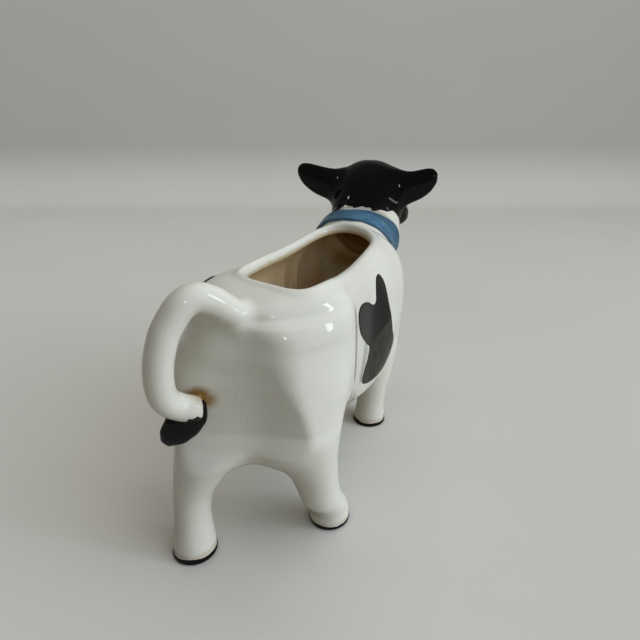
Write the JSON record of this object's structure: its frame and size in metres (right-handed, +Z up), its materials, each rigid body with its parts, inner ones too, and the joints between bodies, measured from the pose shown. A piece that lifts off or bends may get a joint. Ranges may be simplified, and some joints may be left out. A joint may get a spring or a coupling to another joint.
{
  "type": "cow creamer",
  "caption": "Glazed ceramic cream jug shaped as a standing cow: filled through the open back, held by the curled tail and poured from the mouth.",
  "frame": {"origin": "on the table, at the middle of the bounding box's base", "axes": "+X towards the muzzle, +Y towards the cow's left, +Z up"},
  "size_m": [0.1959, 0.078, 0.134],
  "materials": {
    "white_glaze": "glossy milk white glaze over cream clay",
    "black_glaze": "glossy black glaze",
    "blue_glaze": "glossy brushed blue glaze"
  },
  "bodies": {
    "root": {"body": "white_glaze", "head": "black_glaze", "left_ear": "black_glaze", "right_ear": "black_glaze", "left_eye": "white_glaze", "right_eye": "white_glaze", "collar": "blue_glaze", "tail": "white_glaze", "tail_tuft": "black_glaze", "front_left_leg": "white_glaze", "front_right_leg": "white_glaze", "rear_left_leg": "white_glaze", "rear_right_leg": "white_glaze", "front_left_hoof": "black_glaze", "front_right_hoof": "black_glaze", "rear_left_hoof": "black_glaze", "rear_right_hoof": "black_glaze", "right_flank_patch": "black_glaze", "left_flank_patch": "black_glaze"}
  },
  "joints": []
}
